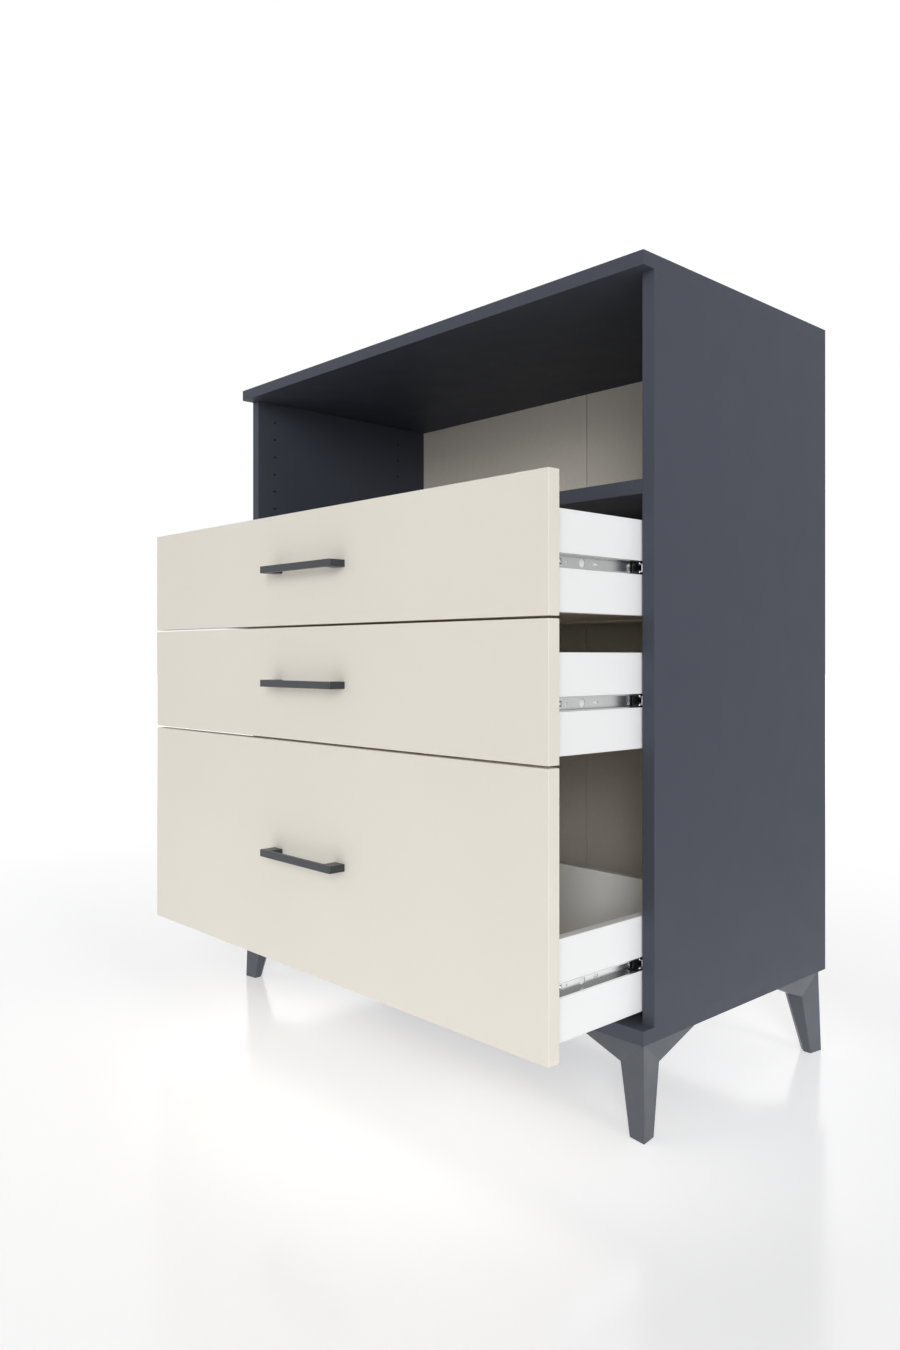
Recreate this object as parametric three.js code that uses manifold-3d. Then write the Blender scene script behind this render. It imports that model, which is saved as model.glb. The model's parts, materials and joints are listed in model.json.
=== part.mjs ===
// A chest of three drawers under an open compartment, on four splayed corner feet.
// Millimetres, +Z up, the front facing -Y. Inside the chest group Y = 0 is the front edge of the side
// panels and Z = 0 is the floor; the group is then moved so that the origin lies on the floor below the
// middle of the chest as it stands here, with every drawer pulled part of the way out.

import * as THREE from "three";
import { mergeVertices } from "three/addons/utils/BufferGeometryUtils.js";
import Module from "manifold-3d";

// Carcass
const chestWidth = 900;
const chestDepth = 450;
const boardThickness = 18;
const frontOverhang = 22;
const compartmentHeight = 252;

// Back sheets in their grooves
const backThickness = 3;
const backInset = 19;
const backGrooveDepth = 8;
const grooveSpare = 0.5;
const grooveEndGap = 1;
const seamWidth = 2;
const seamOffset = 10;
const stripWidth = 30;
const stripThickness = 1;

// Shelf-pin holes
const pinHoleDiameter = 5;
const pinHoleDepth = 11;
const pinHolePitch = 32;
const pinFirstDrop = 35;
const pinFrontSetback = 36.5;
const pinRearSetback = 71;

// Corner feet
const footHeight = 120;
const footInsetSide = 6;
const footInsetFront = 8.5;
const footInsetRear = 10;
const wingLength = 116;
const wingTipInset = 2;
const wingTipWidth = 13;
const wingTipHeight = 3.5;
const kneeDrop = 33.5;
const kneeReach = 39;
const kneeThickness = 23.5;
const ridgeSplay = 3;
const soleReach = 21.5;
const soleThickness = 11;
const soleTurn = 3.75;

// Drawer fronts
const frontThickness = 18;
const smallFrontHeight = 161;
const largeFrontHeight = 324;
const frontGap = 3;
const frontStandOff = 2;
const shelfCover = 6;
const pullOut = 172;

// Drawer boxes
const boxGap = 2;
const boxThickness = 13;
const boxHeight = 117.5;
const boxTail = 4;
const topBoxRise = 5.25;
const middleBoxRise = 6.5;
const lowBoxRise = 10.75;
const bottomThickness = 3;
const bottomRise = 3;
const bottomGrooveDepth = 6;

// Handles and their screws
const handleLength = 170;
const handleHeight = 10;
const handleReach = 25.5;
const handleBarThickness = 6.5;
const handleLegWidth = 21;
const handleCornerRadius = 2;
const screwDiameter = 4;
const screwHeadDiameter = 8;
const screwHeadHeight = 2.5;
const screwBite = 8;
const screwHoleSpare = 0.5;
const screwHoleEndGap = 1;

// Ball runners, seated in a groove of the drawer box's side
const runnerDepth = 12;
const runnerGrooveSpare = 0.5;
const runnerLength = 350;
const sheetThickness = 1;
const drawerMemberHeight = 16.5;
const lipDrop = 0.25;
const flangeGap = 2;
const cabinetMemberGap = 4.5;
const ballDiameter = 3;
const ballSpare = 0.125;
const ballRowDepth = 4;
const cageLength = 140;
const cageClosedSetback = 78;
const cageSheet = 0.75;
const cageWebSetback = 2.5;
const cageSpare = 0.25;
const ballPitch = 25;
const runnerHoleDiameter = 5;
const accessHoleDiameter = 10.5;
const slotLength = 9;
const slotWidth = 3;
const frontHoleSetback = 33;
const middleHoleFromRear = 122;
const rearHoleFromRear = 25;
const accessHoleSetback = 71;
const slotSetback = 95.5;

// One overrun past the face for every cut
const cutOverrun = 2;

// Counts of flats and steps
const holeSides = 12;
const ballSegments = 6;
const ballRings = 4;
const raceSteps = 6;
const cornerSteps = 3;

// Places worked out from the sizes above
const halfWidth = chestWidth / 2;
const sideDepth = chestDepth - frontOverhang;
const innerHalfWidth = halfWidth - boardThickness;
const boxHalfWidth = innerHalfWidth - boxGap;
const runnerSeat = innerHalfWidth - runnerDepth;
const boxInnerHalfWidth = boxHalfWidth - boxThickness;
const panelBase = footHeight;
const floorTop = footHeight + boardThickness;
const frontStack = 3 * frontGap + largeFrontHeight + 2 * smallFrontHeight;
const shelfTop = floorTop + frontStack - shelfCover + boardThickness;
const topUnderside = shelfTop + compartmentHeight;
const backFace = sideDepth - backInset - backThickness;
const backTuck = backGrooveDepth - grooveEndGap;
const bottomTuck = bottomGrooveDepth - grooveEndGap;
const boxLength = frontStandOff + runnerLength + boxTail;
const pinHoleCount = 1 + Math.floor((compartmentHeight - pinFirstDrop) / pinHolePitch);
const screwSpread = (handleLength - handleLegWidth) / 2;
const ballRadius = ballDiameter / 2;
const ballRow = runnerDepth - ballRowDepth;
const ballRowHeight = drawerMemberHeight / 2 - sheetThickness - ballSpare - ballRadius;
const drawerMemberDepth = boxHalfWidth - runnerSeat;
const cabinetMemberHeight = drawerMemberHeight - 2 * (sheetThickness + flangeGap);
const holeSetbacks = [frontHoleSetback, runnerLength - middleHoleFromRear, runnerLength - rearHoleFromRear];

const finish = {
  carcassBoard: new THREE.MeshStandardMaterial({ color: 0x50555e, roughness: 0.55, metalness: 0 }),
  frontBoard: new THREE.MeshStandardMaterial({ color: 0xdcd8cc, roughness: 0.5, metalness: 0 }),
  boxBoard: new THREE.MeshStandardMaterial({ color: 0xebebeb, roughness: 0.5, metalness: 0 }),
  hardboard: new THREE.MeshStandardMaterial({ color: 0xcdc6b8, roughness: 0.6, metalness: 0 }),
  joiningTape: new THREE.MeshStandardMaterial({ color: 0xb9ad98, roughness: 0.8, metalness: 0 }),
  footPlastic: new THREE.MeshStandardMaterial({ color: 0x62656b, roughness: 0.5, metalness: 0 }),
  handlePaint: new THREE.MeshStandardMaterial({ color: 0x4b5058, roughness: 0.45, metalness: 0.3 }),
  zincSteel: new THREE.MeshStandardMaterial({ color: 0xb0b2b1, roughness: 0.35, metalness: 0.9 }),
  cagePlastic: new THREE.MeshStandardMaterial({ color: 0x17181a, roughness: 0.5, metalness: 0 }),
};

const wasm = await Module();
wasm.setup();

// A closed geometry as a solid that can be cut and joined
function solidOf(geometry) {
  const bare = geometry.clone();
  bare.deleteAttribute("normal");
  bare.deleteAttribute("uv");
  const merged = mergeVertices(bare);
  const mesh = new wasm.Mesh({
    numProp: 3,
    vertProperties: merged.attributes.position.array,
    triVerts: new Uint32Array(merged.index.array),
  });
  return new wasm.Manifold(mesh);
}

// A cut or joined solid as a flat-shaded geometry
function geometryOf(solid) {
  const mesh = solid.getMesh();
  const geometry = new THREE.BufferGeometry();
  geometry.setAttribute("position", new THREE.BufferAttribute(mesh.vertProperties, 3));
  geometry.setIndex(new THREE.BufferAttribute(mesh.triVerts, 1));
  const flat = geometry.toNonIndexed();
  flat.computeVertexNormals();
  return flat;
}

function cut(geometry, tools) {
  return geometryOf(tools.reduce((solid, tool) => solid.subtract(solidOf(tool)), solidOf(geometry)));
}

// A box with its low corner at the given place
function block(x, y, z, width, depth, height) {
  const box = new THREE.BoxGeometry(width, depth, height);
  return box.translate(x + width / 2, y + depth / 2, z + height / 2);
}

// A drill along X, from its low end
function drillX(diameter, length, x, y, z) {
  const drill = new THREE.CylinderGeometry(diameter / 2, diameter / 2, length, holeSides);
  return drill.rotateZ(Math.PI / 2).translate(x + length / 2, y, z);
}

// A drill along Y, from its low end
function drillY(diameter, length, x, y, z) {
  const drill = new THREE.CylinderGeometry(diameter / 2, diameter / 2, length, holeSides);
  return drill.translate(x, y + length / 2, z);
}

// An outline in X and Z drawn out along Y, from Y = 0 back to the given length
function drawnAlongY(points, length) {
  const outline = new THREE.Shape(points.map(([x, z]) => new THREE.Vector2(x, z)));
  const solid = new THREE.ExtrudeGeometry(outline, { depth: length, bevelEnabled: false });
  return solid.rotateX(Math.PI / 2).translate(0, length, 0);
}

function piece(name, geometry, material, parent, x = 0, y = 0, z = 0) {
  const mesh = new THREE.Mesh(geometry, material);
  mesh.name = name;
  mesh.position.set(x, y, z);
  parent.add(mesh);
}

// Top and bottom panels, each with the groove that holds the back sheets
function addPanels(parent) {
  const grooveWidth = backThickness + grooveSpare;
  const grooveLength = chestWidth - 2 * (boardThickness - backGrooveDepth);
  const groove = (z) =>
    block(-grooveLength / 2, backFace + frontOverhang, z,
      grooveLength, grooveWidth, backGrooveDepth + cutOverrun);
  const panel = () => block(-halfWidth, 0, 0, chestWidth, chestDepth, boardThickness);
  const grooveFloor = boardThickness - backGrooveDepth;
  const bottom = cut(panel(), [groove(grooveFloor)]);
  const top = cut(panel(), [groove(-cutOverrun)]);
  piece("bottom_panel", bottom, finish.carcassBoard, parent, 0, -frontOverhang, panelBase);
  piece("top_panel", top, finish.carcassBoard, parent, 0, -frontOverhang, topUnderside);
}

// Side panels, with two rows of shelf-pin holes and the back groove on their inner faces
function addSides(parent) {
  const height = topUnderside - floorTop;
  for (const [name, side] of [["left_side", -1], ["right_side", 1]]) {
    const innerFace = side * innerHalfWidth;
    const low = Math.min(innerFace, side * halfWidth);
    const board = block(low, 0, 0, boardThickness, sideDepth, height);
    const tools = [];
    const cutLow = (depth) => Math.min(innerFace - side * cutOverrun, innerFace + side * depth);
    for (const row of [pinFrontSetback, backFace - pinRearSetback]) {
      for (let hole = 0; hole < pinHoleCount; hole += 1) {
        const z = height - pinFirstDrop - hole * pinHolePitch;
        tools.push(drillX(pinHoleDiameter, pinHoleDepth + cutOverrun, cutLow(pinHoleDepth), row, z));
      }
    }
    const grooveWidth = backThickness + grooveSpare;
    const grooveRun = height + 2 * cutOverrun;
    const grooveCut = backGrooveDepth + cutOverrun;
    tools.push(block(cutLow(backGrooveDepth), backFace, -cutOverrun, grooveCut, grooveWidth, grooveRun));
    piece(name, cut(board, tools), finish.carcassBoard, parent, 0, 0, floorTop);
  }
}

// The fixed shelf between the drawers and the open compartment
function addShelf(parent) {
  const shelf = block(-innerHalfWidth, 0, 0, 2 * innerHalfWidth, backFace, boardThickness);
  piece("fixed_shelf", shelf, finish.carcassBoard, parent, 0, 0, shelfTop - boardThickness);
}

// Two back sheets that meet at a seam, and the strip that joins them behind it
function addBack(parent) {
  const base = floorTop - backTuck;
  const height = topUnderside + backTuck - base;
  const edge = innerHalfWidth + backTuck;
  const leftWidth = edge + seamOffset - seamWidth / 2;
  const rightWidth = edge - seamOffset - seamWidth / 2;
  const left = block(0, 0, 0, leftWidth, backThickness, height);
  const right = block(0, 0, 0, rightWidth, backThickness, height);
  piece("back_panel_left", left, finish.hardboard, parent, -edge, backFace, base);
  piece("back_panel_right", right, finish.hardboard, parent, edge - rightWidth, backFace, base);
  const strip = block(-stripWidth / 2, 0, 0, stripWidth, stripThickness, topUnderside - floorTop);
  piece("back_joint_strip", strip, finish.joiningTape, parent,
    seamOffset, backFace + backThickness, floorTop);
}

// A corner foot: two wings under the panel's edges and a tapered leg that splays out at its ridge.
// U and V run from the outer corner along the two edges, and the foot is the same in both.
function footGeometry(signX, signY) {
  const soleInner = soleTurn - ridgeSplay;
  const turnShare = soleTurn / (soleReach + ridgeSplay);
  const splayShare = (ridgeSplay * (1 - turnShare)) / footHeight;
  const kneeInset = turnShare * kneeReach - splayShare * kneeDrop;
  const knee = footHeight - kneeDrop;
  const tip = footHeight - wingTipHeight;
  const half = {
    wingTop: [wingLength, wingTipInset, footHeight],
    wingTopInner: [wingLength, wingTipInset + wingTipWidth, footHeight],
    wingLow: [wingLength, wingTipInset, tip],
    wingLowInner: [wingLength, wingTipInset + wingTipWidth, tip],
    rootTop: [kneeReach, kneeInset + kneeThickness, footHeight],
    knee: [kneeReach, kneeInset, knee],
    kneeInner: [kneeReach, kneeInset + kneeThickness, knee],
    sole: [soleReach, soleInner, 0],
    soleInner: [soleReach, soleInner + soleThickness, 0],
  };
  const point = { corner: [0, 0, footHeight], ridgeSole: [-ridgeSplay, -ridgeSplay, 0] };
  for (const [name, [u, v, z]] of Object.entries(half)) {
    point[name + "A"] = [u, v, z];
    point[name + "B"] = [v, u, z];
  }
  const halfFaces = [
    ["corner", "wingTop", "wingLow"],
    ["corner", "wingLow", "knee"],
    ["corner", "knee", "sole", "ridgeSole"],
    ["wingTop", "wingTopInner", "wingLowInner", "wingLow"],
    ["wingTopInner", "rootTop", "kneeInner", "wingLowInner"],
    ["wingLow", "wingLowInner", "kneeInner", "knee"],
    ["knee", "kneeInner", "soleInner", "sole"],
  ];
  const on = (letter) => (name) => (point[name] ? name : name + letter);
  const faces = [
    ...halfFaces.map((face) => face.map(on("A"))),
    ...halfFaces.map((face) => face.map(on("B")).reverse()),
    ["corner", "wingTopB", "wingTopInnerB", "rootTopB", "rootTopA", "wingTopInnerA", "wingTopA"],
    ["rootTopA", "rootTopB", "kneeInnerB", "kneeInnerA"],
    ["kneeInnerA", "kneeInnerB", "soleInnerB", "soleInnerA"],
    ["ridgeSole", "soleA", "soleInnerA", "soleInnerB", "soleB"],
  ];
  const corners = [];
  const facesTurned = signX * signY > 0;
  for (const face of faces) {
    // Each face is a fan about its first corner, from which the whole face is seen
    for (let i = 1; i < face.length - 1; i += 1) {
      const [second, third] = facesTurned ? [face[i + 1], face[i]] : [face[i], face[i + 1]];
      for (const name of [face[0], second, third]) {
        const [u, v, z] = point[name];
        corners.push(signX * u, signY * v, z);
      }
    }
  }
  const geometry = new THREE.BufferGeometry();
  geometry.setAttribute("position", new THREE.Float32BufferAttribute(corners, 3));
  geometry.computeVertexNormals();
  return geometry;
}

function addFeet(parent) {
  for (const [sideName, side] of [["left", -1], ["right", 1]]) {
    const x = side * (halfWidth - footInsetSide);
    const front = footGeometry(-side, 1);
    const rear = footGeometry(-side, -1);
    const frontY = footInsetFront - frontOverhang;
    piece("foot_front_" + sideName, front, finish.footPlastic, parent, x, frontY, 0);
    piece("foot_rear_" + sideName, rear, finish.footPlastic, parent, x, sideDepth - footInsetRear, 0);
  }
}

// The arc of a ball race, from one crossing of the given height to the other
function raceArc(radius, height) {
  const start = Math.asin((height - ballRowHeight) / radius);
  const points = [];
  for (let step = 0; step <= raceSteps; step += 1) {
    const angle = -Math.PI - start + ((Math.PI + 2 * start) * step) / raceSteps;
    points.push([ballRow + radius * Math.cos(angle), ballRowHeight + radius * Math.sin(angle)]);
  }
  return points;
}

const mirrored = (points) => points.map(([depth, height]) => [depth, -height]).reverse();

// Outlines across the runner: depth from its groove's floor outwards, height from the runner's middle
function cabinetMemberOutline() {
  const outer = cabinetMemberHeight / 2;
  const inner = outer - sheetThickness;
  const lip = cabinetMemberGap;
  const outside = [[lip, outer], ...raceArc(ballRadius + ballSpare, outer), [runnerDepth, outer]];
  const insideArc = raceArc(ballRadius + ballSpare + sheetThickness, inner);
  const inside = [[lip, inner], ...insideArc, [runnerDepth - sheetThickness, inner]];
  return [...outside, ...mirrored(outside), ...mirrored(inside).reverse(), ...inside.reverse()];
}

function drawerMemberOutline() {
  const outer = drawerMemberHeight / 2;
  const inner = outer - sheetThickness;
  const lipEnd = inner - lipDrop;
  const lipFace = drawerMemberDepth - sheetThickness;
  const upper = [[sheetThickness, inner], [lipFace, inner], [lipFace, lipEnd], [drawerMemberDepth, lipEnd]];
  const half = [...upper, [drawerMemberDepth, outer], [0, outer]];
  return [...half, ...mirrored(half)];
}

function cageOutline() {
  const inner = cabinetMemberHeight / 2 + cageSpare;
  const outer = inner + cageSheet;
  const reach = drawerMemberDepth - sheetThickness - cageSpare;
  const flange = [[reach, inner], [reach, outer]];
  const half = [[cageWebSetback + cageSheet, inner], ...flange, [cageWebSetback, outer]];
  return [...half, ...mirrored(half)];
}

// A runner part on one side of the chest, from an outline whose depths start at the groove's floor
function runnerPart(outline, side, length) {
  return drawnAlongY(outline.map(([depth, height]) => [side * (runnerSeat + depth), height]), length);
}

function drawerMember(side) {
  const web = side * (runnerSeat + sheetThickness / 2);
  const run = sheetThickness + 2 * cutOverrun;
  const drill = (diameter, y) => drillX(diameter, run, web - run / 2, y, 0);
  const holes = holeSetbacks.map((y) => drill(runnerHoleDiameter, y));
  const access = drill(accessHoleDiameter, accessHoleSetback);
  const slotStart = slotSetback - slotLength / 2;
  const slot = block(web - run / 2, slotStart, -slotWidth / 2, run, slotLength, slotWidth);
  return cut(runnerPart(drawerMemberOutline(), side, runnerLength), [...holes, access, slot]);
}

function cabinetMember(side) {
  const web = side * (innerHalfWidth - sheetThickness / 2);
  const run = sheetThickness + 2 * cutOverrun;
  const holes = holeSetbacks.map((y) => drillX(runnerHoleDiameter, run, web - run / 2, y, 0));
  return cut(runnerPart(cabinetMemberOutline(), side, runnerLength), holes);
}

// The cage between the two members, with its two rows of balls held in it
function ballCage(side) {
  let cage = solidOf(runnerPart(cageOutline(), side, cageLength));
  const ballCount = Math.floor((cageLength - ballDiameter) / ballPitch) + 1;
  const firstBall = (cageLength - (ballCount - 1) * ballPitch) / 2;
  for (const row of [-1, 1]) {
    for (let ball = 0; ball < ballCount; ball += 1) {
      const sphere = new THREE.SphereGeometry(ballRadius, ballSegments, ballRings).rotateX(Math.PI / 2);
      const x = side * (runnerSeat + ballRow);
      cage = cage.add(solidOf(sphere.translate(x, firstBall + ball * ballPitch, row * ballRowHeight)));
    }
  }
  return geometryOf(cage);
}

// A bar handle on two legs, seen from above, drawn up by its height and drilled for its screws
function handleGeometry() {
  const half = handleLength / 2;
  const barBack = -handleReach + handleBarThickness;
  const radius = handleCornerRadius;
  const outline = new THREE.Shape();
  outline.moveTo(-half, 0);
  outline.lineTo(-half, -handleReach + radius);
  outline.absarc(-half + radius, -handleReach + radius, radius, Math.PI, 1.5 * Math.PI);
  outline.lineTo(half - radius, -handleReach);
  outline.absarc(half - radius, -handleReach + radius, radius, 1.5 * Math.PI, 2 * Math.PI);
  outline.lineTo(half, 0);
  outline.lineTo(half - handleLegWidth, 0);
  outline.lineTo(half - handleLegWidth, barBack);
  outline.lineTo(-half + handleLegWidth, barBack);
  outline.lineTo(-half + handleLegWidth, 0);
  const rise = { depth: handleHeight, bevelEnabled: false, curveSegments: cornerSteps };
  const bar = new THREE.ExtrudeGeometry(outline, rise);
  bar.translate(0, 0, -handleHeight / 2);
  const holes = [-1, 1].map((side) => {
    const depth = screwBite + screwHoleEndGap;
    return drillY(screwDiameter + screwHoleSpare, depth + cutOverrun, side * screwSpread, -depth, 0);
  });
  return cut(bar, holes);
}

// A handle screw: its head on the back of the front, its shank through the front into the leg
function screwGeometry() {
  const shankLength = frontThickness + screwBite;
  const shank = drillY(screwDiameter, shankLength + screwHeadHeight / 2, 0, -shankLength, 0);
  const head = drillY(screwHeadDiameter, screwHeadHeight, 0, 0, 0);
  return geometryOf(solidOf(shank).add(solidOf(head)));
}

// A drawer: its group's origin is at the middle of its front's lower edge, on the front's back face
function addDrawer(parent, name, frontHeight, boxRise, base) {
  const drawer = new THREE.Group();
  drawer.position.set(0, -frontStandOff - pullOut, base);
  parent.add(drawer);
  const middle = frontHeight / 2;
  const bottomBase = boxRise + bottomRise;
  const grooveHeight = bottomThickness + grooveSpare;
  const boxFloorHalfWidth = boxInnerHalfWidth + bottomTuck;

  const front = block(-halfWidth, -frontThickness, 0, chestWidth, frontThickness, frontHeight);
  const frontHole = (side) =>
    drillY(screwDiameter + screwHoleSpare, frontThickness + 2 * cutOverrun,
      side * screwSpread, -frontThickness - cutOverrun, middle);
  const frontGroove = block(-boxFloorHalfWidth - grooveEndGap, -bottomGrooveDepth, bottomBase,
    2 * (boxFloorHalfWidth + grooveEndGap), bottomGrooveDepth + cutOverrun, grooveHeight);
  const frontCut = cut(front, [frontHole(-1), frontHole(1), frontGroove]);
  piece(name + "_front", frontCut, finish.frontBoard, drawer);
  piece(name + "_handle", handleGeometry(), finish.handlePaint, drawer, 0, -frontThickness, middle);

  for (const [sideName, side] of [["left", -1], ["right", 1]]) {
    piece(`${name}_handle_screw_${sideName}`, screwGeometry(), finish.zincSteel, drawer,
      side * screwSpread, 0, middle);
    const low = Math.min(side * boxHalfWidth, side * boxInnerHalfWidth);
    const grooveLow = Math.min(side * (boxInnerHalfWidth - cutOverrun),
      side * (boxInnerHalfWidth + bottomGrooveDepth));
    const board = block(low, 0, 0, boxThickness, boxLength, boxHeight);
    const grooveRun = boxLength - boxThickness + bottomGrooveDepth + cutOverrun;
    const groove = block(grooveLow, -cutOverrun, bottomRise,
      bottomGrooveDepth + cutOverrun, grooveRun, grooveHeight);
    const seatLow = Math.min(side * runnerSeat, side * (boxHalfWidth + cutOverrun));
    const seatHeight = drawerMemberHeight + runnerGrooveSpare;
    const seat = block(seatLow, -cutOverrun, (boxHeight - seatHeight) / 2,
      drawerMemberDepth + cutOverrun, boxLength + 2 * cutOverrun, seatHeight);
    piece(`${name}_box_${sideName}`, cut(board, [groove, seat]), finish.boxBoard, drawer, 0, 0, boxRise);
    piece(`${name}_runner_${sideName}`, drawerMember(side), finish.zincSteel, drawer,
      0, frontStandOff, boxRise + boxHeight / 2);
  }

  const backBoard = block(-boxInnerHalfWidth, boxLength - boxThickness, 0,
    2 * boxInnerHalfWidth, boxThickness, boxHeight);
  const backGroove = block(-boxInnerHalfWidth - cutOverrun, boxLength - boxThickness - cutOverrun, bottomRise,
    2 * (boxInnerHalfWidth + cutOverrun), bottomGrooveDepth + cutOverrun, grooveHeight);
  piece(name + "_box_back", cut(backBoard, [backGroove]), finish.boxBoard, drawer, 0, 0, boxRise);

  const bottomLength = bottomTuck + boxLength - boxThickness + bottomTuck;
  const bottom = block(-boxFloorHalfWidth, -bottomTuck, 0,
    2 * boxFloorHalfWidth, bottomLength, bottomThickness);
  piece(name + "_bottom", bottom, finish.hardboard, drawer, 0, 0, bottomBase);

  for (const [sideName, side] of [["left", -1], ["right", 1]]) {
    const z = base + boxRise + boxHeight / 2;
    piece(`${name}_cabinet_runner_${sideName}`, cabinetMember(side), finish.zincSteel, parent, 0, 0, z);
    piece(`${name}_ball_cage_${sideName}`, ballCage(side), finish.cagePlastic, parent,
      0, cageClosedSetback - pullOut / 2, z);
  }
}

const chest = new THREE.Group();
const body = new THREE.Group();
const frontmost = -frontStandOff - pullOut - frontThickness - handleReach;
body.position.y = -(frontmost + sideDepth) / 2;
chest.add(body);

addPanels(body);
addSides(body);
addShelf(body);
addBack(body);
addFeet(body);

// The drawers stand on one another's gaps, from the bottom panel up
const drawers = [
  ["drawer_3", largeFrontHeight, lowBoxRise],
  ["drawer_2", smallFrontHeight, middleBoxRise],
  ["drawer_1", smallFrontHeight, topBoxRise],
];
let base = floorTop + frontGap;
for (const [name, frontHeight, boxRise] of drawers) {
  addDrawer(body, name, frontHeight, boxRise, base);
  base += frontHeight + frontGap;
}

export default chest;
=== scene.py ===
# %% [markdown]
# # A commode chest on ball runners
# The real chest is a flat-pack piece. Its boards are chipboard with a hard coated face, its back is thin
# hardboard in grooves, and three drawers hang on steel ball runners. The solids come from a CAD model that
# is already in place and at its real size, so nothing is measured or moved here. This lesson is about the
# looks: softened edges, small fittings, finishes, light and camera.

# %% Load the CAD frame
import json
import math
import bmesh
import bpy
from mathutils import Matrix, Vector


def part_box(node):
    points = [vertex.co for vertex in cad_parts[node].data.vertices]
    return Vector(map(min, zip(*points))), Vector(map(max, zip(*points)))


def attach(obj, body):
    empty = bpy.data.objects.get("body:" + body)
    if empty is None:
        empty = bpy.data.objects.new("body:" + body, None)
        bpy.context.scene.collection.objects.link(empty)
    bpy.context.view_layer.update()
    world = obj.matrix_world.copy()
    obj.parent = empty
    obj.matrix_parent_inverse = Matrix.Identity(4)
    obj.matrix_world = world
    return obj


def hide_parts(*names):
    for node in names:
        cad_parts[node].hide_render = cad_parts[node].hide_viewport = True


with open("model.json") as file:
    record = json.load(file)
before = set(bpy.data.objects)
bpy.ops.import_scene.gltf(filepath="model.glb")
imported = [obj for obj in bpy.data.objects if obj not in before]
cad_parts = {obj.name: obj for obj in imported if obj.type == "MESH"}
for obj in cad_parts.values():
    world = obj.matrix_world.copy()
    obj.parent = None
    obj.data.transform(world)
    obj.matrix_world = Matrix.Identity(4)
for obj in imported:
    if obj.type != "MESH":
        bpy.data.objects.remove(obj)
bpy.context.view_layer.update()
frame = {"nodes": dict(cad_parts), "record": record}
MM = 0.001
part = frame["nodes"]
bodies = frame["record"]["behaviour"]["bodies"]
body_of = {node: body for body, nodes in bodies.items() for node in nodes}
DRAWERS = (1, 2, 3)
SIDES = {"left": -1, "right": 1}

# %% [markdown]
# ## The camera
# The photograph was taken level, from the front right, a little above half the chest's height. A level
# camera keeps every upright line upright. Its horizon lies slightly above the picture's middle, which is a
# small vertical shift of the lens and not a tilt. The focal length is known in pixels of the picture's
# long side, and the lens in millimetres follows from it.

# %% Place the camera
PICTURE_HEIGHT = 1350
FOCAL_PIXELS = 1026.02
HORIZON_ROW = 656.14
CAMERA_PLACE = (1.1916, -1.13232, 0.58766)
CAMERA_TURN = math.radians(47.1)

camera_data = bpy.data.cameras.new("camera")
camera_data.lens = FOCAL_PIXELS * camera_data.sensor_width / PICTURE_HEIGHT
camera_data.shift_y = (HORIZON_ROW - PICTURE_HEIGHT / 2) / PICTURE_HEIGHT
camera = bpy.data.objects.new("camera", camera_data)
camera.location = CAMERA_PLACE
camera.rotation_euler = (math.radians(90), 0, CAMERA_TURN)
bpy.context.scene.collection.objects.link(camera)
bpy.context.scene.camera = camera
bpy.context.scene.view_settings.view_transform = "Standard"
print("lens in mm:", round(camera_data.lens, 2), "shift:", round(camera_data.shift_y, 4))

# %% [markdown]
# ## Small helpers for node trees
# Every finish below is a node tree. Writing each link out by hand hides what matters, so three helpers add
# a node with its settings, join sockets, and start a material with its shader. Where several sockets of a
# node share one name, they are reached by number instead.

# %% Helpers for node trees
def add(tree, kind, **settings):
    """Adds a node and gives it its settings."""
    made = tree.nodes.new(kind)
    for name, value in settings.items():
        setattr(made, name, value)
    return made


def join(tree, *pairs):
    """Links every source socket to its target."""
    for source, target in pairs:
        tree.links.new(source, target)


def new_finish(name, roughness, metallic=0.0, specular=0.5):
    """A material with one Principled shader, ready for more nodes."""
    material = bpy.data.materials.new(name)
    material.use_nodes = True
    tree = material.node_tree
    tree.nodes.clear()
    surface = add(tree, "ShaderNodeBsdfPrincipled")
    surface.inputs["Roughness"].default_value = roughness
    surface.inputs["Metallic"].default_value = metallic
    surface.inputs["Specular IOR Level"].default_value = specular
    output = add(tree, "ShaderNodeOutputMaterial")
    join(tree, (surface.outputs["BSDF"], output.inputs["Surface"]))
    return material, tree, surface


print("helpers made: add, join and new_finish")

# %% [markdown]
# ## No surface is quite even
# A real surface never has one flat colour or one even gloss, so a noise changes them a little: tint drifts
# the colour, roughen varies the roughness, and bump raises the surface. A noise that is stretched along one
# axis gives brushed metal or fibres, and an even one gives the grain of a coating. All of them read Object
# coordinates, which are metres on the real chest, so a scale of 1000 means grains about a millimetre apart.

# %% Helpers that let a noise change a surface
NOISE_LOW, NOISE_HIGH = 0.3, 0.7


def noise(tree, scale, detail=2.0, stretch=(1, 1, 1)):
    """A noise value on Object coordinates; a small stretch along an axis draws it out that way."""
    place = add(tree, "ShaderNodeTexCoord")
    mapping = add(tree, "ShaderNodeMapping")
    mapping.inputs["Scale"].default_value = stretch
    grain = add(tree, "ShaderNodeTexNoise")
    grain.inputs["Scale"].default_value = scale
    grain.inputs["Detail"].default_value = detail
    join(
        tree,
        (place.outputs["Object"], mapping.inputs["Vector"]),
        (mapping.outputs["Vector"], grain.inputs["Vector"]),
    )
    return grain.outputs["Fac"]


def spread(tree, value, low, high):
    """A noise value, which stays near its middle, spread out between two numbers."""
    ends = add(tree, "ShaderNodeMapRange")
    ends.inputs["From Min"].default_value = NOISE_LOW
    ends.inputs["From Max"].default_value = NOISE_HIGH
    ends.inputs["To Min"].default_value = low
    ends.inputs["To Max"].default_value = high
    join(tree, (value, ends.inputs["Value"]))
    return ends.outputs["Result"]


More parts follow.
